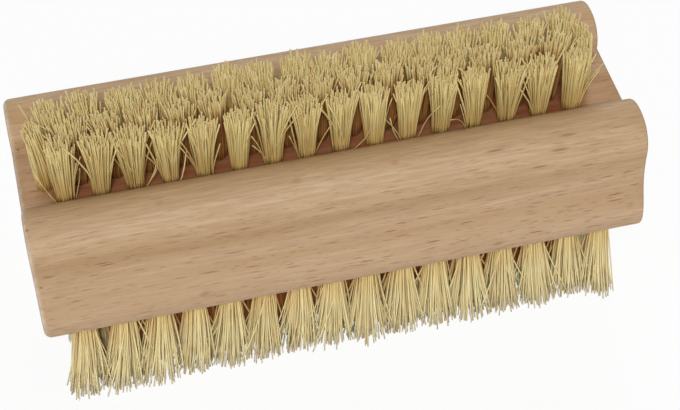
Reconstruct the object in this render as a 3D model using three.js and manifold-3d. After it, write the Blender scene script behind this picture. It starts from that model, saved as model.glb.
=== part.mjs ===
// Double-sided nail brush: a milled beech block with short fibre tufts in a channel along its top
// and longer tufts on its wider underside. Millimetres, +X along the block, +Z up. The brush stands
// on the level-trimmed tips of the lower tufts, with the origin below its centre at z = 0.
import * as THREE from 'three';
import { mergeVertices } from 'three/addons/utils/BufferGeometryUtils.js';
import Module from 'manifold-3d';

const wasm = await Module();
wasm.setup();

// Block, milled in one length and cut square at the ends
const BLOCK_LENGTH = 95;
const BASE_WIDTH = 38.5;
const GRIP_WIDTH = 33.3;
const CHANNEL_WIDTH = 13.3;
const CHANNEL_DEPTH = 4.4;
const FLOOR_TO_BASE = 15.9;
const LIP_OUTER_RADIUS = 5;
const BASE_EDGE_RADIUS = 3;
const GRIP_CURVE_UPPER = 7.6;
const GRIP_CURVE_LOWER = 3.9;
const END_ROUNDING = 0.8;
const END_ROUNDING_STEPS = 3;

// Tufts: rows run along X, and every second row is set half a pitch sideways. Spread is how much
// wider the field is at its tips than at its holes, along and across the brush. The upper field is
// drilled a little off centre, and its tips lean back a little
const UPPER_CENTRE = [-0.9, -1.4];
const UPPER_TIP_CENTRE = [-0.9, -0.9];
const UPPER_LENGTH = 12.2;
const UPPER_PITCH = 5.29;
const UPPER_ROW_SPACING = 3.2;
const UPPER_ROW_COUNTS = [16, 17, 16];
const UPPER_UNEVENNESS = 0.3;
const UPPER_SPREAD = [1, 1.3];
const LOWER_CENTRE = [0, 0];
const LOWER_LENGTH = 18;
const LOWER_PITCH = 5.52;
const LOWER_ROW_SPACING = 4.7;
const LOWER_ROW_COUNTS = [16, 15, 16, 15, 16, 15, 16];
const LOWER_TRIM = 0.5;
const LOWER_SPREAD = [1.07, 1.07];
const HOLE_UNEVENNESS = 0.06;

// Each tuft is a small grid of square strands that spread from its hole to an even field of tips. A
// span is shared by the strands and the gaps beside them
const STRANDS_ABREAST = 2;
const UPPER_STRANDS_DEEP = 2;
const LOWER_STRANDS_DEEP = 1;
const ROOT_SPAN = [2.2, 1.9];
const ROOT_GAP = 0.2;
const ROOT_EMBED = 0.7;
const UPPER_TIP_DEPTH = 4.1;
const LOWER_TIP_DEPTH = 4;
const TIP_GAP = 0.7;

// The slice of wood that holds the roots, the flat wire anchors under it, and the fitting gap
const SLICE_THICKNESS = 1.5;
const SLICE_MARGIN = 0.7;
const ANCHOR_LENGTH = 2.6;
const ANCHOR_THICKNESS = 0.5;
const ANCHOR_HEIGHT = 1.8;
const ANCHOR_CHAMFER = 0.5;
const GAP = 0.3;
const CUT_OVERRUN = 1;

const CURVE_DIVISIONS = 5;
const MERGE_DISTANCE = 1e-4;

const BASE_Z = LOWER_LENGTH;
const FLOOR_Z = BASE_Z + FLOOR_TO_BASE;
const CREST_Z = FLOOR_Z + CHANNEL_DEPTH;

const BEECH = { color: 0xc9a47e, roughness: 0.55, metalness: 0 };
const FIBRE = { color: 0xd9c68a, roughness: 0.7, metalness: 0 };
const STEEL_WIRE = { color: 0x9a9c9f, roughness: 0.35, metalness: 1 };

const upperField = {
  up: 1,
  faceZ: FLOOR_Z,
  centre: UPPER_CENTRE,
  pitch: UPPER_PITCH,
  rowSpacing: UPPER_ROW_SPACING,
  rowCounts: UPPER_ROW_COUNTS,
  strandCounts: [STRANDS_ABREAST, UPPER_STRANDS_DEEP],
  tipCentre: UPPER_TIP_CENTRE,
  tipSpan: [UPPER_PITCH, UPPER_TIP_DEPTH],
  spread: UPPER_SPREAD,
  tipZ: (index) => FLOOR_Z + UPPER_LENGTH + UPPER_UNEVENNESS * Math.sin(index * index),
};

const lowerField = {
  up: -1,
  faceZ: BASE_Z,
  centre: LOWER_CENTRE,
  pitch: LOWER_PITCH,
  rowSpacing: LOWER_ROW_SPACING,
  rowCounts: LOWER_ROW_COUNTS,
  strandCounts: [STRANDS_ABREAST, LOWER_STRANDS_DEEP],
  tipCentre: LOWER_CENTRE,
  tipSpan: [LOWER_PITCH, LOWER_TIP_DEPTH],
  spread: LOWER_SPREAD,
  tipZ: () => -LOWER_TRIM,
};

function toSolid(geometry) {
  const bare = geometry.clone();
  bare.deleteAttribute('normal');
  bare.deleteAttribute('uv');
  const merged = mergeVertices(bare, MERGE_DISTANCE);
  return new wasm.Manifold(new wasm.Mesh({
    numProp: 3,
    vertProperties: merged.attributes.position.array,
    triVerts: new Uint32Array(merged.index.array),
  }));
}

function toGeometry(solid) {
  const { vertProperties, triVerts } = solid.getMesh();
  const geometry = new THREE.BufferGeometry();
  geometry.setAttribute('position', new THREE.BufferAttribute(vertProperties, 3));
  geometry.setIndex(new THREE.BufferAttribute(triVerts, 1));
  geometry.computeVertexNormals();
  return geometry;
}

function boxSolid(size, centre) {
  const geometry = new THREE.BoxGeometry(...size);
  geometry.translate(...centre);
  return toSolid(geometry);
}

function namedMesh(name, geometry, finish) {
  const mesh = new THREE.Mesh(geometry, new THREE.MeshStandardMaterial(finish));
  mesh.name = name;
  return mesh;
}

// The centres of a field's tufts, row by row from the front (-Y) to the back, drilled a little unevenly
function tuftCentres({ centre, rowCounts, rowSpacing, pitch }) {
  const middleRow = (rowCounts.length - 1) / 2;
  const even = rowCounts.flatMap((count, row) => Array.from({ length: count }, (_, i) => ({
    x: centre[0] + (i - (count - 1) / 2) * pitch,
    y: centre[1] + (row - middleRow) * rowSpacing,
    row,
  })));
  return even.map(({ x, y, row }, index) => ({
    x: x + HOLE_UNEVENNESS * Math.cos(index * index),
    y: y + HOLE_UNEVENNESS * Math.sin(index * index),
    row,
  }));
}

// The slice's length and width: the outermost roots and a margin
function sliceSize({ rowCounts, rowSpacing, pitch }) {
  const margin = 2 * SLICE_MARGIN - ROOT_GAP;
  const length = (Math.max(...rowCounts) - 1) * pitch + ROOT_SPAN[0] + margin;
  const width = (rowCounts.length - 1) * rowSpacing + ROOT_SPAN[1] + margin;
  return [length, width];
}

// Half of the section in (Y, Z): up the inner side of a lip from the channel floor, over its crest,
// down the outer side and the concave grip that flares to the base, and round the lower edge
function halfSection() {
  const foot = CHANNEL_WIDTH / 2;
  const grip = GRIP_WIDTH / 2;
  const base = BASE_WIDTH / 2;
  const gripTopZ = CREST_Z - LIP_OUTER_RADIUS;
  const edgeZ = BASE_Z + BASE_EDGE_RADIUS;
  const path = new THREE.Path();
  path.moveTo(foot, FLOOR_Z);
  path.absarc(foot + CHANNEL_DEPTH, FLOOR_Z, CHANNEL_DEPTH, Math.PI, Math.PI / 2, true);
  path.absarc(grip - LIP_OUTER_RADIUS, gripTopZ, LIP_OUTER_RADIUS, Math.PI / 2, 0, true);
  path.bezierCurveTo(grip, gripTopZ - GRIP_CURVE_UPPER, base, edgeZ + GRIP_CURVE_LOWER, base, edgeZ);
  path.absarc(base - BASE_EDGE_RADIUS, edgeZ, BASE_EDGE_RADIUS, 0, -Math.PI / 2, true);
  const points = path.getPoints(CURVE_DIVISIONS);
  return points.filter((p, i) => i === 0 || p.distanceTo(points[i - 1]) > MERGE_DISTANCE);
}

// The section carried along X, drawn in at both ends by the rounded end edges
function blockBlank() {
  const right = halfSection();
  const left = right.map((p) => new THREE.Vector2(-p.x, p.y)).reverse();
  const straight = BLOCK_LENGTH - 2 * END_ROUNDING;
  const geometry = new THREE.ExtrudeGeometry(new THREE.Shape([...right, ...left]), {
    depth: straight,
    bevelThickness: END_ROUNDING,
    bevelSize: END_ROUNDING,
    bevelOffset: -END_ROUNDING,
    bevelSegments: END_ROUNDING_STEPS,
  });
  geometry.translate(0, 0, -straight / 2);
  const axes = [new THREE.Vector3(0, 1, 0), new THREE.Vector3(0, 0, 1), new THREE.Vector3(1, 0, 0)];
  geometry.applyMatrix4(new THREE.Matrix4().makeBasis(...axes));
  return toSolid(geometry);
}

// The shallow recess that a field's slice of wood lies in
function recess(field) {
  const [length, width] = sliceSize(field);
  const depth = SLICE_THICKNESS + GAP;
  const centreZ = field.faceZ + field.up * (CUT_OVERRUN - depth) / 2;
  const size = [length + 2 * GAP, width + 2 * GAP, depth + CUT_OVERRUN];
  return boxSolid(size, [...field.centre, centreZ]);
}

// The top edge of an anchor, at the bottom of the recess
function anchorZ(field) {
  return field.faceZ - field.up * (SLICE_THICKNESS + GAP);
}

function anchorPocket(field, tuft) {
  const height = ANCHOR_HEIGHT + GAP + CUT_OVERRUN;
  const centreZ = anchorZ(field) + field.up * (CUT_OVERRUN - ANCHOR_HEIGHT - GAP) / 2;
  const size = [ANCHOR_LENGTH + 2 * GAP, ANCHOR_THICKNESS + 2 * GAP, height];
  return boxSolid(size, [tuft.x, tuft.y, centreZ]);
}

function frontRow(field) {
  return tuftCentres(field).filter((tuft) => tuft.row === 0);
}

function woodBlock() {
  let solid = blockBlank();
  for (const field of [upperField, lowerField]) {
    solid = solid.subtract(recess(field));
    for (const tuft of frontRow(field)) {
      solid = solid.subtract(anchorPocket(field, tuft));
    }
  }
  return namedMesh('wood_block', toGeometry(solid), BEECH);
}

// The places of a tuft's strands in their grid, counted from its middle
function strandPlaces([abreast, deep]) {
  const fromMiddle = (count) => Array.from({ length: count }, (_, i) => i - (count - 1) / 2);
  return fromMiddle(abreast).flatMap((across) => fromMiddle(deep).map((back) => [across, back]));
}

// One strand of a tuft: a box whose root end sits in the hole and whose tip end is spread and widened
function strand(field, tuft, index, place) {
  const hole = [tuft.x - field.centre[0], tuft.y - field.centre[1]];
  const root = { centre: field.centre, span: ROOT_SPAN, gap: ROOT_GAP, spread: [1, 1] };
  const tip = { centre: field.tipCentre, span: field.tipSpan, gap: TIP_GAP, spread: field.spread };
  const geometry = new THREE.BoxGeometry(1, 1, 1);
  const corners = geometry.attributes.position;
  for (let i = 0; i < corners.count; i++) {
    const atTip = corners.getZ(i) * field.up > 0;
    const end = atTip ? tip : root;
    const corner = [corners.getX(i), corners.getY(i)];
    const [x, y] = corner.map((side, axis) => {
      const cell = end.span[axis] / field.strandCounts[axis];
      const middle = hole[axis] * end.spread[axis] + place[axis] * cell;
      return end.centre[axis] + middle + side * (cell - end.gap);
    });
    const z = atTip ? field.tipZ(index) : field.faceZ - field.up * ROOT_EMBED;
    corners.setXYZ(i, x, y, z);
  }
  return toSolid(geometry);
}

// All the tufts of one side, standing on the slice of wood that they are set in
function tuftField(name, field) {
  const sliceZ = field.faceZ - field.up * SLICE_THICKNESS / 2;
  let solid = boxSolid([...sliceSize(field), SLICE_THICKNESS], [...field.centre, sliceZ]);
  tuftCentres(field).forEach((tuft, index) => {
    for (const place of strandPlaces(field.strandCounts)) {
      solid = solid.add(strand(field, tuft, index, place));
    }
  });
  const floorCut = boxSolid([BLOCK_LENGTH, BASE_WIDTH, CUT_OVERRUN], [0, 0, -CUT_OVERRUN / 2]);
  return namedMesh(name, toGeometry(solid.subtract(floorCut)), FIBRE);
}

// A flat wire anchor on edge: its top edge carries the fold of a tuft, its lower corners are clipped
function anchor(name, field, tuft) {
  const half = ANCHOR_LENGTH / 2;
  const outline = new THREE.Shape([
    new THREE.Vector2(-half, 0),
    new THREE.Vector2(-half, ANCHOR_CHAMFER - ANCHOR_HEIGHT),
    new THREE.Vector2(ANCHOR_CHAMFER - half, -ANCHOR_HEIGHT),
    new THREE.Vector2(half - ANCHOR_CHAMFER, -ANCHOR_HEIGHT),
    new THREE.Vector2(half, ANCHOR_CHAMFER - ANCHOR_HEIGHT),
    new THREE.Vector2(half, 0),
  ]);
  const geometry = new THREE.ExtrudeGeometry(outline, { depth: ANCHOR_THICKNESS, bevelEnabled: false });
  geometry.translate(0, 0, -ANCHOR_THICKNESS / 2);
  const mesh = namedMesh(name, geometry, STEEL_WIRE);
  mesh.position.set(tuft.x, tuft.y, anchorZ(field));
  mesh.rotation.x = field.up * Math.PI / 2;
  return mesh;
}

const brush = new THREE.Group();
brush.name = 'nail_brush';
brush.add(woodBlock());
brush.add(tuftField('upper_tufts', upperField));
brush.add(tuftField('lower_tufts', lowerField));
for (const [side, field] of [['upper', upperField], ['lower', lowerField]]) {
  frontRow(field).forEach((tuft, i) => {
    brush.add(anchor(`${side}_anchor_${String(i + 1).padStart(2, '0')}`, field, tuft));
  });
}

export default brush;
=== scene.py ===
# Double-sided nail brush: a milled beech block with short fibre tufts in a channel along its top and
# longer tufts on its wider underside. Metres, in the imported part's own frame.
import math

import bpy
import numpy as np
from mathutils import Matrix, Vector


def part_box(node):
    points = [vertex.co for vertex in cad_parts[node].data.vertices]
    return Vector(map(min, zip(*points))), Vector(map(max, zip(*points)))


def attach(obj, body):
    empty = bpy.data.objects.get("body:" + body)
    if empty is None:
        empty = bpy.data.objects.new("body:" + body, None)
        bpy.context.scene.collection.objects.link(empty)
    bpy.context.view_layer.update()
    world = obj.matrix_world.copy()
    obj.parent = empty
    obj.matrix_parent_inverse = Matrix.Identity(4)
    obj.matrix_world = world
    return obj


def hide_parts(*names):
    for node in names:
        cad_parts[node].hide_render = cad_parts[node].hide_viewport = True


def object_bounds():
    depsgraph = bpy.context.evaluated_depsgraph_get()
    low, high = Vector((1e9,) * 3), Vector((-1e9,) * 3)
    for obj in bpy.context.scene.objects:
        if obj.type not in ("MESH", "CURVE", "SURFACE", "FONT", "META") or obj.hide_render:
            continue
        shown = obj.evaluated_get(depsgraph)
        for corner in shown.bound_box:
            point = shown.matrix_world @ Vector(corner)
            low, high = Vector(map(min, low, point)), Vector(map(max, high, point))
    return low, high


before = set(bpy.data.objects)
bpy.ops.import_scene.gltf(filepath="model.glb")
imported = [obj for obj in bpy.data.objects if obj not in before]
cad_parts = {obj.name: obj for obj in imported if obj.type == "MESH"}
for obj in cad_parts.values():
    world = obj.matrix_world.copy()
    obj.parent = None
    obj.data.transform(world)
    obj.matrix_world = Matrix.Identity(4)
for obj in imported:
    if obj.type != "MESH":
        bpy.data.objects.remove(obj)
cad_low, cad_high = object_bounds()

# The block is one length of steamed beech, milled to a section with two round lips, a channel between
# them and hollowed grips, then cut square, drilled, and sanded by hand so that its end edges are soft.
MM = 0.001
BLOCK_LOW, BLOCK_HIGH = (np.array(corner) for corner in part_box("wood_block"))
BLOCK_LENGTH = BLOCK_HIGH[0] - BLOCK_LOW[0]
BASE_HALF = BLOCK_HIGH[1]
BASE_Z = BLOCK_LOW[2]
CREST_Z = BLOCK_HIGH[2]
CHANNEL_HALF = 6.65 * MM
CHANNEL_DEPTH = 4.4 * MM
FLOOR_Z = CREST_Z - CHANNEL_DEPTH
GRIP_HALF = 16.65 * MM
LIP_RADIUS = 5.0 * MM
BASE_RADIUS = 3.0 * MM
GRIP_CURVE_UPPER = 7.6 * MM
GRIP_CURVE_LOWER = 3.9 * MM
LEFT_END_RADIUS = 1.1 * MM
RIGHT_END_RADIUS = 0.5 * MM
END_STEPS = 7
LENGTH_STEPS = 60
FLOOR_STEPS = 8
INNER_LIP_STEPS = 14
OUTER_LIP_STEPS = 16
GRIP_STEPS = 24
EDGE_STEPS = 12
UNDER_STEPS = 14
EDGE_TURN = (0.0, 0.4)
LEFT_GRAIN_TURN = (0.6, 1.0)
RIGHT_GRAIN_TURN = (0.0, 0.5)
TUFTED_MIDDLE = -0.9 * MM
TUFTED_HALF = 43.5 * MM
# Painted shade on the channel floor: how it fades at the tufted field's ends and up the lips, and how much
# of it the bare ends get.
CHANNEL_SHADE_FADE = 3.0 * MM
CHANNEL_SHADE_HEIGHT = 2.5 * MM
BARE_FLOOR_SHADE = 0.25


def arc(centre, radius, start, end, steps):
    """Points of a circle in (Y, Z): centre + radius (cos a, sin a), with a from start to end degrees."""
    a = np.radians(np.linspace(start, end, steps))
    return np.asarray(centre) + radius * np.c_[np.cos(a), np.sin(a)]


def bezier(corners, steps):
    """A cubic curve: the four corners weighted by (1-t)^3, 3t(1-t)^2, 3t^2(1-t) and t^3."""
    t = np.linspace(0, 1, steps)[:, None]
    weights = np.hstack([(1 - t) ** 3, 3 * t * (1 - t) ** 2, 3 * t**2 * (1 - t), t**3])
    return weights @ np.asarray(corners)


def block_section():
    """The closed section in (Y, Z), clockwise from above the channel floor's middle: floor, lip, grip,
    lower edge and underside of one half, then the same half mirrored back."""
    lip_z = CREST_Z - LIP_RADIUS
    edge_z = BASE_Z + BASE_RADIUS
    floor = np.c_[np.linspace(0, CHANNEL_HALF, FLOOR_STEPS), np.full(FLOOR_STEPS, FLOOR_Z)]
    inner = arc((CHANNEL_HALF + CHANNEL_DEPTH, FLOOR_Z), CHANNEL_DEPTH, 180, 90, INNER_LIP_STEPS)
    outer = arc((GRIP_HALF - LIP_RADIUS, lip_z), LIP_RADIUS, 90, 0, OUTER_LIP_STEPS)
    grip = bezier([(GRIP_HALF, lip_z), (GRIP_HALF, lip_z - GRIP_CURVE_UPPER),
                   (BASE_HALF, edge_z + GRIP_CURVE_LOWER), (BASE_HALF, edge_z)], GRIP_STEPS)
    edge = arc((BASE_HALF - BASE_RADIUS, edge_z), BASE_RADIUS, 0, -90, EDGE_STEPS)
    under = np.c_[np.linspace(BASE_HALF - BASE_RADIUS, 0, UNDER_STEPS), np.full(UNDER_STEPS, BASE_Z)]
    half = np.vstack([floor, inner[1:], outer, grip[1:], edge[1:], under[1:]])
    return np.vstack([half, half[-2:0:-1] * (-1, 1)])


def outward(loop):
    """Mitred normals of a closed clockwise loop: (n1 + n2) / (1 + n1.n2) of the two sides at a corner."""
    side = np.roll(loop, -1, axis=0) - loop
    side /= np.linalg.norm(side, axis=1)[:, None]
    after = np.c_[-side[:, 1], side[:, 0]]
    before = np.roll(after, 1, axis=0)
    return (before + after) / (1 + (before * after).sum(1))[:, None]


def mesh_object(name, points, corners, sizes, smooth):
    """An object from a list of points, the corner indices of all faces in a row, and the faces' sizes."""
    mesh = bpy.data.meshes.new(name)
    mesh.vertices.add(len(points))
    mesh.vertices.foreach_set("co", np.asarray(points, np.float32).ravel())
    mesh.loops.add(len(corners))
    mesh.loops.foreach_set("vertex_index", np.asarray(corners, np.int32))
    mesh.polygons.add(len(sizes))
    starts = np.concatenate([[0], np.cumsum(sizes)[:-1]])
    mesh.polygons.foreach_set("loop_start", starts.astype(np.int32))
    mesh.polygons.foreach_set("use_smooth", np.asarray(smooth, bool))
    mesh.update(calc_edges=True)
    mesh.validate()
    made = bpy.data.objects.new(name, mesh)
    bpy.context.scene.collection.objects.link(made)
    return made


def point_values(piece, name, values):
    """Stores one number a point on a piece, for its material."""
    layer = piece.data.attributes.new(name, "FLOAT", "POINT")
    layer.data.foreach_set("value", np.asarray(values, np.float32).ravel())


def ease(value, start, end):
    """From 0 at start to 1 at end by 3s^2 - 2s^3, where s is the share of the way between them."""
    s = np.clip((value - start) / (end - start), 0, 1)
    return s * s * (3 - 2 * s)


def channel_shade_mask(points):
    """Where painted shade lies: 1 on the channel floor among the tufts, fading up the lips, and less on the
    floor's bare ends.
    """
    x, y, z = np.moveaxis(points, -1, 0)
    in_channel = (np.abs(y) < CHANNEL_HALF + CHANNEL_DEPTH) & (z > FLOOR_Z - LEFT_END_RADIUS)
    low = ease(z, FLOOR_Z + CHANNEL_SHADE_HEIGHT, FLOOR_Z)
    among = ease(np.abs(x - TUFTED_MIDDLE), TUFTED_HALF, TUFTED_HALF - CHANNEL_SHADE_FADE)
    return in_channel * low * (BARE_FLOOR_SHADE + (1 - BARE_FLOOR_SHADE) * among)


def block_surface():
    """The section carried along X. Near an end the turn a goes from 0 to 90 degrees: the section is drawn
    in by r (1 - cos a) along its normals while x runs out by r sin a, and a flat face closes the end. The
    left end is sanded rounder than the right, and its edge is worn where it has turned a little. End grain
    shows where it has turned more."""
    loop = block_section()
    turn = np.radians(np.linspace(0, 90, END_STEPS))
    run_out, drawn_in = np.sin(turn) - 1, 1 - np.cos(turn)
    left = -BLOCK_LENGTH / 2 - LEFT_END_RADIUS * run_out[::-1]
    right = BLOCK_LENGTH / 2 + RIGHT_END_RADIUS * run_out
    inner = np.linspace(left[-1], right[0], LENGTH_STEPS)[1:-1]
    level = np.zeros(len(inner))
    x = np.concatenate([left, inner, right])
    inset = np.concatenate([LEFT_END_RADIUS * drawn_in[::-1], level, RIGHT_END_RADIUS * drawn_in])
    yz = loop[None] - inset[:, None, None] * outward(loop)[None]
    points = np.dstack([np.broadcast_to(x[:, None], yz.shape[:2]), yz])
    stations, around = yz.shape[:2]
    index = np.arange(stations * around).reshape(stations, around)
    ahead = np.roll(index, -1, axis=1)
    quads = np.stack([index[:-1], index[1:], ahead[1:], ahead[:-1]], axis=-1).reshape(-1, 4)
    corners = np.concatenate([quads.ravel(), index[0], index[-1, ::-1]])
    sizes = np.concatenate([np.full(len(quads), 4), [around, around]])
    smooth = np.concatenate([np.ones(len(quads), bool), [False, False]])
    turned = np.repeat(np.concatenate([drawn_in[::-1], level, drawn_in]), around)
    at_left = np.repeat(x < 0, around)
    end_grain = np.where(at_left, ease(turned, *LEFT_GRAIN_TURN), ease(turned, *RIGHT_GRAIN_TURN))
    finish = {"edge": at_left * ease(turned, *EDGE_TURN) * (1 - end_grain), "end_grain": end_grain,
              "channel_shade_mask": channel_shade_mask(points)}
    return (points.reshape(-1, 3), corners, sizes, smooth), finish


def add_node(tree, kind, inputs=None, **settings):
    """A shader node with its settings, and its inputs (by name or number) set to values or linked."""
    made = tree.nodes.new(kind)
    for key, value in settings.items():
        setattr(made, key, value)
    for key, value in (inputs or {}).items():
        if isinstance(value, bpy.types.NodeSocket):
            tree.links.new(value, made.inputs[key])
        else:
            made.inputs[key].default_value = value
    return made


def maths(tree, operation, *values):
    """The output of a Math node."""
    return add_node(tree, "ShaderNodeMath", dict(enumerate(values)), operation=operation).outputs[0]


def blend(tree, share, first, second):
    """The colour between first and second at that share."""
    made = add_node(tree, "ShaderNodeMix", {0: share, 6: first, 7: second}, data_type="RGBA")
    return made.outputs[2]


def tint(tree, colour, finish, mask):
    """A colour that goes over to a finish where the mask is 1. A finish is a colour and the share of it
    that shows at most."""
    second, most = finish
    return blend(tree, maths(tree, "MULTIPLY", mask, most), colour, second)


def attribute(tree, name):
    """One of the piece's own point values."""
    return add_node(tree, "ShaderNodeAttribute", attribute_name=name).outputs["Fac"]


def ramp(tree, value, start, end, low=0.0, high=1.0):
    """From low to high as a value goes from start to end."""
    made = add_node(tree, "ShaderNodeMapRange",
                    {"Value": value, "From Min": start, "From Max": end, "To Min": low, "To Max": high})
    return made.outputs[0]


def tone(red, green, blue):
    """A colour given as it looks on a screen, 0 to 255, as the linear values that shaders take, by the
    standard curve of screens."""
    c = np.array([red, green, blue]) / 255
    return (*np.where(c <= 0.04045, c / 12.92, ((c + 0.055) / 1.055) ** 2.4), 1.0)


def new_material(name):
    """A material with only its output and a Principled shader, as (material, tree, shader)."""
    material = bpy.data.materials.new(name)
    material.use_nodes = True
    tree = material.node_tree
    return material, tree, tree.nodes["Principled BSDF"]


def streaks_group():
    """Lengthwise streaks: noise that is drawn out along X by its two scales, put out as a mask about 0.5."""
    group = bpy.data.node_groups.new("lengthwise_streaks", "ShaderNodeTree")
    for name, kind in (("Vector", "NodeSocketVector"), ("Along", "NodeSocketFloat"),
                       ("Across", "NodeSocketFloat"), ("Sharpness", "NodeSocketFloat")):
        group.interface.new_socket(name=name, in_out="INPUT", socket_type=kind)
    group.interface.new_socket(name="Mask", in_out="OUTPUT", socket_type="NodeSocketFloat")
    given = add_node(group, "NodeGroupInput").outputs
    scale = add_node(group, "ShaderNodeCombineXYZ",
                     {0: given["Along"], 1: given["Across"], 2: given["Across"]})
    drawn = add_node(group, "ShaderNodeVectorMath", {0: given["Vector"], 1: scale.outputs[0]},
                     operation="MULTIPLY")
    noise = add_node(group, "ShaderNodeTexNoise",
                     {"Vector": drawn.outputs[0], "Scale": 1.0, "Detail": 3.0, "Roughness": 0.55})
    centred = maths(group, "SUBTRACT", noise.outputs[0], 0.5)
    sharper = maths(group, "MULTIPLY_ADD", centred, given["Sharpness"], 0.5)
    clamped = add_node(group, "ShaderNodeClamp", {0: sharper})
    add_node(group, "NodeGroupOutput", {"Mask": clamped.outputs[0]})
    return group


STREAKS = streaks_group()


def streaks(tree, vector, along, across, sharpness):
    """The mask of lengthwise streaks, with about that many a metre along and across the grain."""
    inputs = {"Vector": vector, "Along": along, "Across": across, "Sharpness": sharpness}
    return add_node(tree, "ShaderNodeGroup", inputs, node_tree=STREAKS).outputs["Mask"]


SOFT_CORE = 0.35


def ray_flecks(tree, vector, offset, along, across, reach):
    """Short lens-shaped flecks: cells drawn out along X, about so many a metre along and across the grain,
    each 1 in its core and falling to 0 at its own share of the reach."""
    placed = add_node(tree, "ShaderNodeMapping",
                      {"Vector": vector, "Location": offset, "Scale": (along, across, across)})
    cells = add_node(tree, "ShaderNodeTexVoronoi", {"Vector": placed.outputs[0], "Scale": 1.0})
    varied = maths(tree, "MULTIPLY", cells.outputs["Color"], reach)
    core = maths(tree, "MULTIPLY", varied, SOFT_CORE)
    fall = add_node(tree, "ShaderNodeMapRange",
                    {"Value": cells.outputs["Distance"], "From Min": core, "From Max": varied,
                     "To Min": 1.0, "To Max": 0.0}, interpolation_type="SMOOTHSTEP")
    return fall.outputs[0]


def spots(tree, place, centres, size):
    """Soft spots: 1 in the core about each of the centres, falling to 0 at the half sizes in X, Y and Z."""
    total = 0.0
    for centre in centres:
        near = add_node(tree, "ShaderNodeMapping",
                        {"Vector": place, "Location": centre, "Scale": size}, vector_type="TEXTURE")
        away = add_node(tree, "ShaderNodeVectorMath", {0: near.outputs[0]}, operation="LENGTH")
        total = maths(tree, "MAXIMUM", total, ramp(tree, away.outputs["Value"], 1.0, SOFT_CORE))
    return total


BEECH_DARK = tone(175, 141, 98)
BEECH_LIGHT = tone(199, 171, 137)
LATE_WOOD = (tone(174, 142, 106), 0.25)
STREAK = (tone(174, 141, 102), 0.4)
PORE = (tone(156, 121, 88), 0.42)
# Painted light: the grip is made paler towards its bottom.
PAINTED_LIGHT_LOWER_GRIP = (tone(194, 166, 138), 0.33)
RAY_FLECK = tone(132, 86, 52)
LONG_FLECK = (RAY_FLECK, 0.6)
WORN_EDGE = (tone(228, 208, 186), 0.6)
# Darker end grain, darkened further as painted shade on the block's ends.
END_GRAIN_AND_SHADE = (tone(158, 120, 84), 0.6)
END_RING = (tone(122, 84, 52), 0.4)
# Painted shade: a dark red-brown that stands in for the shadow on the channel floor among the tufts.
PAINTED_CHANNEL_SHADE = (tone(119, 57, 20), 0.95)
KNOT = (tone(160, 110, 66), 0.42)
PIT = (tone(96, 70, 48), 0.65)
# Streaks: how many a metre along and across the grain, and how sharp.
BROAD_BANDS = (6.0, 230.0, 3.4)
MEDIUM_STREAKS = (45.0, 900.0, 2.6)
FINE_STREAKS = (170.0, 2500.0, 3.2)
FLECK_CLUSTERS = (60.0, 240.0, 3.0)
EDGE_SCRATCHES = (900.0, 1400.0, 3.0)
# Flecks: where their pattern starts, how many a metre along and across the grain, and their reach.
LONG_RAYS = ((0.0, 0.0, 0.0), 230.0, 2500.0, 0.5)
SHORT_RAYS = ((3.7, 5.1, 2.3), 480.0, 3600.0, 0.46)
END_PORES = ((1.3, 0.7, 2.9), 3400.0, 3400.0, 0.5)
SHORT_RAY_SHARE = 0.6
END_PORE_SHARE = 0.8
CLUSTERED_SHARE = 0.7
LIP_FADE = (CREST_Z - 1 * MM, CREST_Z - 5 * MM)
LIP_FLECK_SHARE = (0.5, 1.0)
LOWER_GRIP_FADE = (36 * MM, 20 * MM)
EDGE_WEAR = (0.5, 1.4)
CHANNEL_SHADE_SHARE = (1.0, 0.75)
BEECH_ROUGHNESS = (0.5, 0.68)
FLECK_HEIGHT = -0.8
PIT_HEIGHT = -3.0
SWAY_SCALE = 28.0
SWAY = (0.0, 2.2 * MM, 2.2 * MM)
PITH_PLACE = (0.0, -12.0 * MM, 55.0 * MM)
KNOTS = np.array([(-23, -19, 23), (-7, -13, 38), (8, -13, 38), (-27.5, -12.5, 38)]) * MM
KNOT_SIZE = (1.0 * MM, 0.6 * MM, 0.6 * MM)
LONG_FLECKS = np.array([(35, -13.7, 37.9), (23.4, -14, 37.7), (33.3, -15.3, 36.7)]) * MM
LONG_FLECK_SIZE = (1.9 * MM, 0.3 * MM, 0.3 * MM)
PITS = np.array([(-47, -13, 38), (-46.6, -17, 29.3), (-46.4, 6.7, 34.1)]) * MM
PIT_SIZE = (0.36 * MM, 0.3 * MM, 0.3 * MM)


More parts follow.
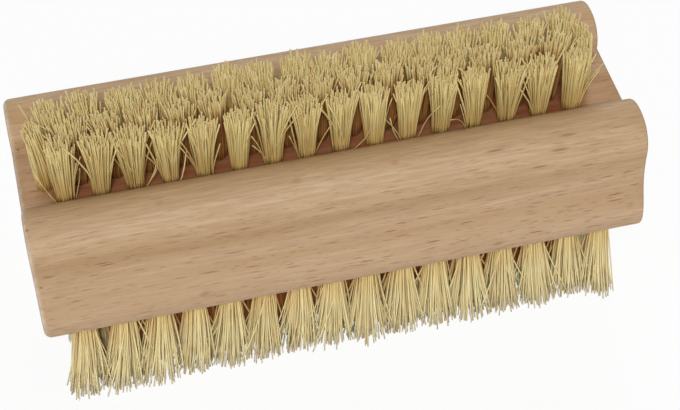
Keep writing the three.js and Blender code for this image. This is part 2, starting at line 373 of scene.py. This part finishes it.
def beech_material():
    """Steamed beech: growth bands and lengthwise tones, a lower grip made paler as painted light, short dark
    ray flecks, a few pin knots and pits, a paler sanded left edge, darker end grain that is partly painted
    shade, and painted shade in red-brown on the channel floor among the tufts."""
    material, tree, shader = new_material("beech")
    place = add_node(tree, "ShaderNodeTexCoord").outputs["Object"]
    height = add_node(tree, "ShaderNodeSeparateXYZ", {0: place}).outputs["Z"]
    sway = add_node(tree, "ShaderNodeTexNoise", {"Vector": place, "Scale": SWAY_SCALE, "Detail": 1.0})
    sway_centred = add_node(tree, "ShaderNodeVectorMath", {0: sway.outputs["Color"], 1: (0.5, 0.5, 0.5)},
                            operation="SUBTRACT")
    sway_sized = add_node(tree, "ShaderNodeVectorMath", {0: sway_centred.outputs[0], 1: SWAY},
                          operation="MULTIPLY")
    grain = add_node(tree, "ShaderNodeVectorMath", {0: place, 1: sway_sized.outputs[0]}).outputs[0]

    bands = streaks(tree, grain, *BROAD_BANDS)
    fine = streaks(tree, grain, *FINE_STREAKS)
    medium = streaks(tree, grain, *MEDIUM_STREAKS)
    pith = add_node(tree, "ShaderNodeMapping", {"Vector": grain, "Location": PITH_PLACE})
    rings = add_node(tree, "ShaderNodeTexWave",
                     {"Vector": pith.outputs[0], "Scale": 95.0, "Distortion": 2.2, "Detail": 2.0,
                      "Detail Scale": 0.6}, wave_type="RINGS", rings_direction="X", wave_profile="SAW")
    colour = blend(tree, bands, BEECH_DARK, BEECH_LIGHT)
    colour = tint(tree, colour, LATE_WOOD, rings.outputs["Fac"])
    colour = tint(tree, colour, STREAK, medium)
    colour = tint(tree, colour, PORE, fine)
    # Painted light: paler towards the bottom of the grip.
    colour = tint(tree, colour, PAINTED_LIGHT_LOWER_GRIP, ramp(tree, height, *LOWER_GRIP_FADE))

    long_flecks = ray_flecks(tree, grain, *LONG_RAYS)
    short_flecks = ray_flecks(tree, grain, *SHORT_RAYS)
    flecks = maths(tree, "MAXIMUM", long_flecks, maths(tree, "MULTIPLY", short_flecks, SHORT_RAY_SHARE))
    clusters = streaks(tree, grain, *FLECK_CLUSTERS)
    clustered = maths(tree, "MULTIPLY_ADD", clusters, CLUSTERED_SHARE, 1 - CLUSTERED_SHARE)
    thinner = ramp(tree, height, *LIP_FADE, *LIP_FLECK_SHARE)
    fleck_share = maths(tree, "MULTIPLY", clustered, thinner)
    colour = blend(tree, maths(tree, "MULTIPLY", flecks, fleck_share), colour, RAY_FLECK)
    colour = tint(tree, colour, LONG_FLECK, spots(tree, place, LONG_FLECKS, LONG_FLECK_SIZE))
    colour = tint(tree, colour, KNOT, spots(tree, place, KNOTS, KNOT_SIZE))
    wear = ramp(tree, streaks(tree, place, *EDGE_SCRATCHES), 0.0, 1.0, *EDGE_WEAR)
    colour = tint(tree, colour, WORN_EDGE, maths(tree, "MULTIPLY", attribute(tree, "edge"), wear))
    # Darker end grain with its rings and pores; part of the darkening is painted shade.
    end_grain = attribute(tree, "end_grain")
    end_pores = maths(tree, "MULTIPLY", ray_flecks(tree, place, *END_PORES), END_PORE_SHARE)
    end_lines = maths(tree, "MAXIMUM", rings.outputs["Fac"], end_pores)
    colour = tint(tree, colour, END_GRAIN_AND_SHADE, end_grain)
    colour = tint(tree, colour, END_RING, maths(tree, "MULTIPLY", end_lines, end_grain))
    pits = spots(tree, place, PITS, PIT_SIZE)
    colour = tint(tree, colour, PIT, pits)
    # Painted shade on the channel floor among the tufts, made uneven by the medium streaks.
    channel_shade = ramp(tree, medium, 0.0, 1.0, *CHANNEL_SHADE_SHARE)
    channel_shade = maths(tree, "MULTIPLY", attribute(tree, "channel_shade_mask"), channel_shade)
    colour = tint(tree, colour, PAINTED_CHANNEL_SHADE, channel_shade)
    tree.links.new(colour, shader.inputs["Base Color"])

    tree.links.new(ramp(tree, fine, 0.0, 1.0, *BEECH_ROUGHNESS), shader.inputs["Roughness"])
    relief = maths(tree, "MULTIPLY_ADD", flecks, FLECK_HEIGHT, fine)
    relief = maths(tree, "MULTIPLY_ADD", pits, PIT_HEIGHT, relief)
    bump = add_node(tree, "ShaderNodeBump", {"Strength": 0.25, "Distance": 0.1 * MM, "Height": relief})
    tree.links.new(bump.outputs[0], shader.inputs["Normal"])
    shader.inputs["Specular IOR Level"].default_value = 0.35
    return material


block_mesh, block_finish = block_surface()
block = mesh_object("beech_block", *block_mesh)
for name, values in block_finish.items():
    point_values(block, name, values)
block.data.materials.append(beech_material())
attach(block, "root")
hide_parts("wood_block")


# The anchors are short cuts of flat steel wire, one across the fold of each tuft, punched in with it so
# that their ends bite into the hole's walls. The wire is drawn, so fine lines run along it.
WIRE_LIGHT = tone(176, 178, 182)
WIRE_DARK = tone(120, 121, 124)
WIRE_LINES = (300.0, 9000.0, 2.0)
WIRE_ROUGHNESS = (0.45, 0.28)


def wire_material():
    """Drawn steel wire: bright metal with fine lengthwise lines that are a little darker and rougher."""
    material, tree, shader = new_material("drawn_wire")
    place = add_node(tree, "ShaderNodeTexCoord").outputs["Object"]
    lines = streaks(tree, place, *WIRE_LINES)
    tree.links.new(blend(tree, lines, WIRE_DARK, WIRE_LIGHT), shader.inputs["Base Color"])
    tree.links.new(ramp(tree, lines, 0.0, 1.0, *WIRE_ROUGHNESS), shader.inputs["Roughness"])
    shader.inputs["Metallic"].default_value = 1.0
    return material


wire = wire_material()
for name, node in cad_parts.items():
    if "anchor" in name:
        node.data.materials.clear()
        node.data.materials.append(wire)


# The upper tufts are short bunches of stiff plant fibre, each folded over its anchor in a hole of the
# channel floor, in three rows. They rise in narrow bundles, fan out, and their two legs part. Shears cut
# them unevenly, and a little lower to the front.
FIBRE_SIDES = 5
FIBRE_RINGS = 6
FIBRE_TAPER = 0.1
GOLDEN_ANGLE = math.pi * (3 - math.sqrt(5))
STRAY_SWING = 3.0 * MM
LEG_SHARPNESS = 4.0
TUFT_FULLNESS = (0.88, 1.12)
SHADE_POWER = 0.7
HELD_POWER = 24
RIM_DEPTH = np.array([8.5, 4.4]) * MM


def row_offsets(count, row, rows, pitch, spacing):
    """The places of a row's holes from the field's middle: a pitch apart along X, the rows spaced in Y."""
    x = (np.arange(count) - (count - 1) / 2) * pitch
    return np.c_[x, np.full(count, (row - (rows - 1) / 2) * spacing)]


def field_half(counts, pitch, spacing, hole):
    """Half a field's size in X and Y: the place of the last hole of its longest row, and a hole's radius."""
    return row_offsets(max(counts), len(counts) - 1, len(counts), pitch, spacing)[-1] + hole


def held_within(x, limit):
    """x held softly inside plus or minus the limit: x / (1 + (|x| / limit)^p)^(1 / p)."""
    return x / (1 + (np.abs(x) / limit) ** HELD_POWER) ** (1 / HELD_POWER)


def fibre_tubes(name, roots, tips, curl, bow, thickness, fibre_values):
    """Closed tubes, one a fibre. At t from 0 to 1 the centre is root + (tip - root) t in height and
    root + (tip - root) t^curl + bow sin(pi t) sideways, and the radius falls by FIBRE_TAPER to the tip."""
    t = np.linspace(0, 1, FIBRE_RINGS)[None, :, None]
    reach = tips - roots
    centre = roots[:, None] + reach[:, None] * np.concatenate(
        [np.repeat(t ** curl[:, None, None], 2, axis=2), np.broadcast_to(t, (len(roots), FIBRE_RINGS, 1))],
        axis=2)
    centre[:, :, :2] += bow[:, None] * np.sin(np.pi * t)
    along = np.gradient(centre, axis=1)
    along /= np.linalg.norm(along, axis=2, keepdims=True)
    first = np.cross(along, (0.0, 1.0, 0.0))
    first /= np.linalg.norm(first, axis=2, keepdims=True)
    second = np.cross(along, first)
    a = np.arange(FIBRE_SIDES) * 2 * np.pi / FIBRE_SIDES
    radius = thickness[:, None, None] / 2 * (1 - FIBRE_TAPER * t)
    points = centre[:, :, None] + radius[..., None] * (
        first[:, :, None] * np.cos(a)[:, None] + second[:, :, None] * np.sin(a)[:, None])
    index = np.arange(points[..., 0].size).reshape(points.shape[:3])
    ahead = np.roll(index, -1, axis=2)
    quads = np.stack([index[:, :-1], ahead[:, :-1], ahead[:, 1:], index[:, 1:]], axis=-1).reshape(-1, 4)
    ends = np.concatenate([index[:, -1], index[:, 0, ::-1]])
    corners = np.concatenate([quads.ravel(), ends.ravel()])
    sizes = np.concatenate([np.full(len(quads), 4), np.full(len(ends), FIBRE_SIDES)])
    smooth = np.concatenate([np.ones(len(quads), bool), np.zeros(len(ends), bool)])
    made = mesh_object(name, points.reshape(-1, 3), corners, sizes, smooth)
    point_values(made, "height", np.broadcast_to(t[..., None], index.shape + (1,)))
    for key, values in fibre_values.items():
        point_values(made, key, np.broadcast_to(values[:, None, None], index.shape))
    return made


def tuft_fibres(random, holes, heads, count, hole, fan, parting, looseness, stray):
    """Roots fill each hole as a sunflower's seeds do, at radius sqrt((i + 0.5) / count) and a golden angle
    apart. Tips keep their place in a wider ellipse about the tuft's head, with the legs of the fold drawn
    apart in Y, and a few strays swing along X. Gives (roots, tips) in X and Y."""
    i = np.arange(count)
    share = np.sqrt((i + 0.5) / count)
    angle = i * GOLDEN_ANGLE + random.uniform(0, 2 * np.pi, (len(holes), 1))
    spot = np.stack([np.cos(angle), np.sin(angle)], axis=-1) * share[:, None]
    roots = holes[:, None] + spot * hole
    fullness = random.uniform(*TUFT_FULLNESS, (len(holes), 1, 1))
    tips = heads[:, None] + (spot + random.normal(0, looseness, spot.shape)) * np.asarray(fan) * fullness
    tips[..., 1] += random.uniform(0, parting, (len(holes), 1)) * np.tanh(LEG_SHARPNESS * spot[..., 1])
    swing = random.normal(0, STRAY_SWING, angle.shape)
    tips[..., 0] += np.where(random.random(angle.shape) < stray, swing, 0)
    return roots.reshape(-1, 2), tips.reshape(-1, 2)


def depth_in_field(roots, centre, half):
    """0 for a fibre at the rim of a field of tufts, easing to 1 for one that stands RIM_DEPTH inside it.
    The fibre material paints shade on the fibre's lower part by this.
    """
    return ease(((half - np.abs(roots - centre)) / RIM_DEPTH).min(axis=1), 0, 1)


FIBRE_DARK = tone(172, 120, 46)
FIBRE_DARK_SHARE = (0.5, 0.0)
FIBRE_BLOTCH = (tone(206, 180, 110), 0.2)
BLOTCH_STREAKS = (900.0, 420.0, 2.0)
# How far up a fibre the painted root shade reaches, and how much higher it reaches inside the field.
RISE_START = 0.1
RISE_END = 0.5
INNER_RISE = 0.6
PALE_TIP = (0.8, 1.0)
FIBRE_ROUGHNESS = (0.62, 0.45)


def fibre_material(name, painted_root_shade, painted_inner_shade, middle_colour, tip_colour):
    """Stiff plant fibre: painted shade darker and redder at the root, most so inside the field, then paler
    to the tip, each fibre of its own tone, with fine blotches and a faint gloss."""
    material, tree, shader = new_material(name)
    height = attribute(tree, "height")
    shade = attribute(tree, "shade")
    place = add_node(tree, "ShaderNodeTexCoord").outputs["Object"]
    inner = attribute(tree, "inner")
    rise_start = maths(tree, "MULTIPLY_ADD", inner, INNER_RISE, RISE_START)
    rise_end = maths(tree, "MULTIPLY_ADD", inner, INNER_RISE, RISE_END)
    colour = blend(tree, inner, painted_root_shade, painted_inner_shade)
    colour = blend(tree, ramp(tree, height, rise_start, rise_end), colour, middle_colour)
    colour = blend(tree, ramp(tree, height, *PALE_TIP), colour, tip_colour)
    colour = blend(tree, ramp(tree, shade, 0.0, 1.0, *FIBRE_DARK_SHARE), colour, FIBRE_DARK)
    colour = tint(tree, colour, FIBRE_BLOTCH, streaks(tree, place, *BLOTCH_STREAKS))
    tree.links.new(colour, shader.inputs["Base Color"])
    tree.links.new(ramp(tree, shade, 0.0, 1.0, *FIBRE_ROUGHNESS), shader.inputs["Roughness"])
    shader.inputs["Specular IOR Level"].default_value = 0.4
    return material


def plant_row(name, node, material, random, roots, tips, inner, curl, bow, thickness):
    """One row of tufts, as a piece that stands for its share of a CAD node."""
    total = len(roots)
    tufts = fibre_tubes(name, roots, tips, curl=random.uniform(*curl, total),
                        bow=random.normal(0, bow, (total, 2)),
                        thickness=random.uniform(*thickness, total),
                        fibre_values={"shade": random.random(total) ** SHADE_POWER, "inner": inner})
    tufts.data.materials.append(material)
    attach(tufts, "root")
    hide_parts(node)


UPPER_ROWS = (16, 17, 16)
UPPER_PITCH = 5.29 * MM
UPPER_ROW_SPACING = 3.2 * MM
UPPER_CENTRE = np.array([-0.9, -1.4]) * MM
UPPER_TIP_CENTRE = np.array([-0.9, -0.75]) * MM
UPPER_SPREAD = (1.0, 1.22)
UPPER_END_LEANS = (0.0, 1.9 * MM, 0.7 * MM)
END_LEAN_POWER = 7
RIGHT_LEAN_SHARE = 0.45
UPPER_TIP_Z = 45.9 * MM
UPPER_UNEVENNESS = 0.6 * MM
UPPER_TRIM = (-0.4 * MM, 0.0, 0.2 * MM)
UPPER_TUFT_TRIM = (-0.4 * MM, 0.2 * MM)
UPPER_LIMITS = (UPPER_TIP_Z - 3 * UPPER_UNEVENNESS, cad_high[2] + 0.3 * MM)
UPPER_LEAN = 0.25 * MM
UPPER_COUNT = 98
UPPER_HOLE = 1.28 * MM
UPPER_HALF = field_half(UPPER_ROWS, UPPER_PITCH, UPPER_ROW_SPACING, UPPER_HOLE)
UPPER_FAN = (2.45 * MM, 1.5 * MM)
UPPER_PARTING = 0.4 * MM
UPPER_REACH = 44.05 * MM
UPPER_REACH_MIDDLE = -1.45 * MM
ROOT_DEPTH = 0.6 * MM
upper_random = np.random.default_rng(11)
# Painted shade on the fibres: a darker root colour, and a red-brown one for fibres inside the field.
upper_fibre = fibre_material("upper_fibre", painted_root_shade=tone(228, 194, 118), painted_inner_shade=tone(136, 66, 27),
                             middle_colour=tone(231, 214, 150), tip_colour=tone(210, 195, 140))
for row, count in enumerate(UPPER_ROWS):
    offsets = row_offsets(count, row, len(UPPER_ROWS), UPPER_PITCH, UPPER_ROW_SPACING)
    along = offsets[:, 0] / np.abs(offsets[:, 0]).max()
    heads = UPPER_TIP_CENTRE + offsets * UPPER_SPREAD + upper_random.normal(0, UPPER_LEAN, offsets.shape)
    end_lean = UPPER_END_LEANS[row] * np.where(along < 0, 1, RIGHT_LEAN_SHARE)
    heads[:, 0] += end_lean * along**END_LEAN_POWER
    roots, tips = tuft_fibres(upper_random, UPPER_CENTRE + offsets, heads, UPPER_COUNT, UPPER_HOLE,
                              UPPER_FAN, UPPER_PARTING, looseness=0.13, stray=0.05)
    tips[:, 0] = UPPER_REACH_MIDDLE + held_within(tips[:, 0] - UPPER_REACH_MIDDLE, UPPER_REACH)
    tip_z = UPPER_TIP_Z + UPPER_TRIM[row] + upper_random.normal(0, UPPER_UNEVENNESS, len(tips))
    tip_z += np.repeat(upper_random.uniform(*UPPER_TUFT_TRIM, count), UPPER_COUNT)
    tip_z = np.clip(tip_z, *UPPER_LIMITS)
    plant_row(f"upper_tuft_row_{row + 1}", "upper_tufts", upper_fibre, upper_random,
              np.c_[roots, np.full(len(roots), FLOOR_Z - ROOT_DEPTH)], np.c_[tips, tip_z],
              depth_in_field(roots, UPPER_CENTRE, UPPER_HALF),
              curl=(1.3, 1.9), bow=0.14 * MM, thickness=(0.22 * MM, 0.32 * MM))


# The loose fibres are a few of the same plant fibre at the sides of the front tufts. They have slipped half
# out of the fold, so they are held by the hole's edge alone and lean low across the gaps.
LOOSE_COUNT = 22
LOOSE_SIDE = 0.9
LOOSE_FRONT = -0.54
LOOSE_REACH = (1.2 * MM, 3.6 * MM)
LOOSE_RISE = (3.5 * MM, 9.5 * MM)
LOOSE_FORWARD = 0.9 * MM
loose_random = np.random.default_rng(5)
front_holes = UPPER_CENTRE + row_offsets(UPPER_ROWS[0], 0, len(UPPER_ROWS), UPPER_PITCH, UPPER_ROW_SPACING)
loose_roots = front_holes[loose_random.integers(0, UPPER_ROWS[0], LOOSE_COUNT)]
loose_side = loose_random.choice([-1, 1], LOOSE_COUNT)
loose_roots = loose_roots + np.c_[loose_side * LOOSE_SIDE, np.full(LOOSE_COUNT, LOOSE_FRONT)] * UPPER_HOLE
loose_tips = loose_roots + np.c_[loose_side * loose_random.uniform(*LOOSE_REACH, LOOSE_COUNT),
                                 loose_random.normal(0, LOOSE_FORWARD, LOOSE_COUNT)]
loose_z = FLOOR_Z + loose_random.uniform(*LOOSE_RISE, LOOSE_COUNT)
plant_row("upper_loose_fibres", "upper_tufts", upper_fibre, loose_random,
          np.c_[loose_roots, np.full(LOOSE_COUNT, FLOOR_Z - ROOT_DEPTH)], np.c_[loose_tips, loose_z],
          np.zeros(LOOSE_COUNT), curl=(0.7, 1.6), bow=0.6 * MM, thickness=(0.16 * MM, 0.24 * MM))


# The lower tufts are the same fibre in longer bunches, set in seven rows of holes that are drilled in the
# flat underside a little to the right of its middle. They fan out until neighbours meet, and are trimmed
# level, because the brush stands on their tips.
LOWER_ROWS = (16, 15, 16, 15, 16, 15, 16)
LOWER_PITCH = 5.52 * MM
LOWER_ROW_SPACING = 4.7 * MM
LOWER_CENTRE = np.array([0.9, 0.0]) * MM
FIRST_HOLE_OUT = 0.8 * MM
LOWER_SPREAD = 1.05
INNER_SPREAD = 1.01
LOWER_LEAN = 0.2 * MM
LOWER_COUNT = 140
LOWER_HOLE = 1.42 * MM
LOWER_HALF = field_half(LOWER_ROWS, LOWER_PITCH, LOWER_ROW_SPACING, LOWER_HOLE)
LOWER_FAN = (3.5 * MM, 2.5 * MM)
LOWER_PARTING = 0.4 * MM
LOWER_REACH = 46.6 * MM
INNER_REACH = 44.6 * MM
TRIM_ABOVE_FLOOR = 0.06 * MM
TRIM_UNEVENNESS = 0.35 * MM
lower_random = np.random.default_rng(23)
# Painted shade on the fibres: a darker root colour, and a red-brown one for fibres inside the field.
lower_fibre = fibre_material("lower_fibre", painted_root_shade=tone(242, 214, 142), painted_inner_shade=tone(198, 112, 58),
                             middle_colour=tone(247, 236, 184), tip_colour=tone(247, 239, 200))
for row, count in enumerate(LOWER_ROWS):
    outer = row in (0, len(LOWER_ROWS) - 1)
    offsets = row_offsets(count, row, len(LOWER_ROWS), LOWER_PITCH, LOWER_ROW_SPACING)
    offsets[0, 0] -= FIRST_HOLE_OUT
    spread = (LOWER_SPREAD if outer else INNER_SPREAD, LOWER_SPREAD)
    heads = LOWER_CENTRE + offsets * spread + lower_random.normal(0, LOWER_LEAN, offsets.shape)
    roots, tips = tuft_fibres(lower_random, LOWER_CENTRE + offsets, heads, LOWER_COUNT, LOWER_HOLE,
                              LOWER_FAN, LOWER_PARTING, looseness=0.12, stray=0.13)
    tips[:, 0] = held_within(tips[:, 0], LOWER_REACH if outer else INNER_REACH)
    tip_z = TRIM_ABOVE_FLOOR + np.abs(lower_random.normal(0, TRIM_UNEVENNESS, len(tips)))
    plant_row(f"lower_tuft_row_{row + 1}", "lower_tufts", lower_fibre, lower_random,
              np.c_[roots, np.full(len(roots), BASE_Z + ROOT_DEPTH)], np.c_[tips, tip_z],
              depth_in_field(roots, LOWER_CENTRE, LOWER_HALF),
              curl=(1.1, 1.6), bow=0.22 * MM, thickness=(0.22 * MM, 0.3 * MM))


# The stage: a plain pale floor, a soft light from beside the camera, weaker ones from the right and from
# behind, and a pale surround. The camera stands where the photograph was taken from.
FLOOR_HALF = 1.5
FLOOR_COLOUR = tone(246, 246, 245)
FLOOR_PALER = tone(248, 248, 248)
FLOOR_GLOW = 0.88
SURROUND_LIGHT = 0.18
CAMERA_PLACE = Vector((-40.24, -174.80, 226.34)) * MM
CAMERA_YAW = math.radians(13.83)
CAMERA_PITCH = math.radians(49.59)
CAMERA_LENS = 89.6
CAMERA_SENSOR = 36.0
CAMERA_NEAR = 0.01
AIM = Vector((0.0, 0.0, 0.024))
# Each lamp's place, size and watts.
LAMPS = {"key": ((-0.22, -0.8, 1.0), 0.35, 12.2),
         "fill": ((0.7, -0.3, 0.9), 0.9, 0.7),
         "back": ((0.3, 1.0, 0.6), 0.8, 4.5)}


def seen_directly(tree):
    """1 for what the camera, a reflection or glass shows, and 0 for light that falls on the brush."""
    ray = add_node(tree, "ShaderNodeLightPath").outputs
    shown = maths(tree, "MAXIMUM", ray["Is Camera Ray"], ray["Is Glossy Ray"])
    return maths(tree, "MAXIMUM", shown, ray["Is Transmission Ray"])


def floor_material():
    """A pale matt floor with a trace of unevenness."""
    material, tree, shader = new_material("pale_floor")
    place = add_node(tree, "ShaderNodeTexCoord").outputs["Object"]
    noise = add_node(tree, "ShaderNodeTexNoise", {"Vector": place, "Scale": 6.0, "Detail": 1.0})
    colour = blend(tree, noise.outputs[0], FLOOR_COLOUR, FLOOR_PALER)
    tree.links.new(colour, shader.inputs["Base Color"])
    shader.inputs["Roughness"].default_value = 0.9
    shader.inputs["Specular IOR Level"].default_value = 0.1
    glow = add_node(tree, "ShaderNodeEmission", {"Color": (1.0, 1.0, 1.0, 1.0), "Strength": 1.0})
    share = maths(tree, "MULTIPLY", seen_directly(tree), FLOOR_GLOW)
    mixed = add_node(tree, "ShaderNodeMixShader", {0: share, 1: shader.outputs[0], 2: glow.outputs[0]})
    tree.links.new(mixed.outputs[0], tree.nodes["Material Output"].inputs["Surface"])
    return material


def soft_light(name, place, size, watts):
    """A square lamp that faces the brush."""
    lamp = bpy.data.lights.new(name, "AREA")
    lamp.size = size
    lamp.energy = watts
    made = bpy.data.objects.new(name, lamp)
    made.location = place
    made.rotation_euler = (AIM - Vector(place)).to_track_quat("-Z", "Y").to_euler()
    bpy.context.scene.collection.objects.link(made)


floor_corners = np.array([(-1, -1, 0), (1, -1, 0), (1, 1, 0), (-1, 1, 0)]) * FLOOR_HALF
floor = mesh_object("floor", floor_corners, np.arange(4), [4], [False])
floor.data.materials.append(floor_material())
for name, settings in LAMPS.items():
    soft_light(name, *settings)

world = bpy.data.worlds.new("surround")
world.use_nodes = True
bpy.context.scene.world = world
sky = world.node_tree
strength = add_node(sky, "ShaderNodeMapRange",
                    {"Value": seen_directly(sky), "To Min": SURROUND_LIGHT, "To Max": 1.0})
backdrop = sky.nodes["Background"]
backdrop.inputs["Color"].default_value = (1.0, 1.0, 1.0, 1.0)
sky.links.new(strength.outputs[0], backdrop.inputs["Strength"])

lens = bpy.data.cameras.new("camera")
lens.lens = CAMERA_LENS
lens.sensor_width = CAMERA_SENSOR
lens.clip_start = CAMERA_NEAR
camera = bpy.data.objects.new("camera", lens)
facing = Vector((math.sin(CAMERA_YAW) * math.cos(CAMERA_PITCH),
                 math.cos(CAMERA_YAW) * math.cos(CAMERA_PITCH), -math.sin(CAMERA_PITCH)))
camera.location = CAMERA_PLACE
camera.rotation_euler = facing.to_track_quat("-Z", "Y").to_euler()
bpy.context.scene.collection.objects.link(camera)
bpy.context.scene.camera = camera
bpy.context.scene.view_settings.view_transform = "Standard"
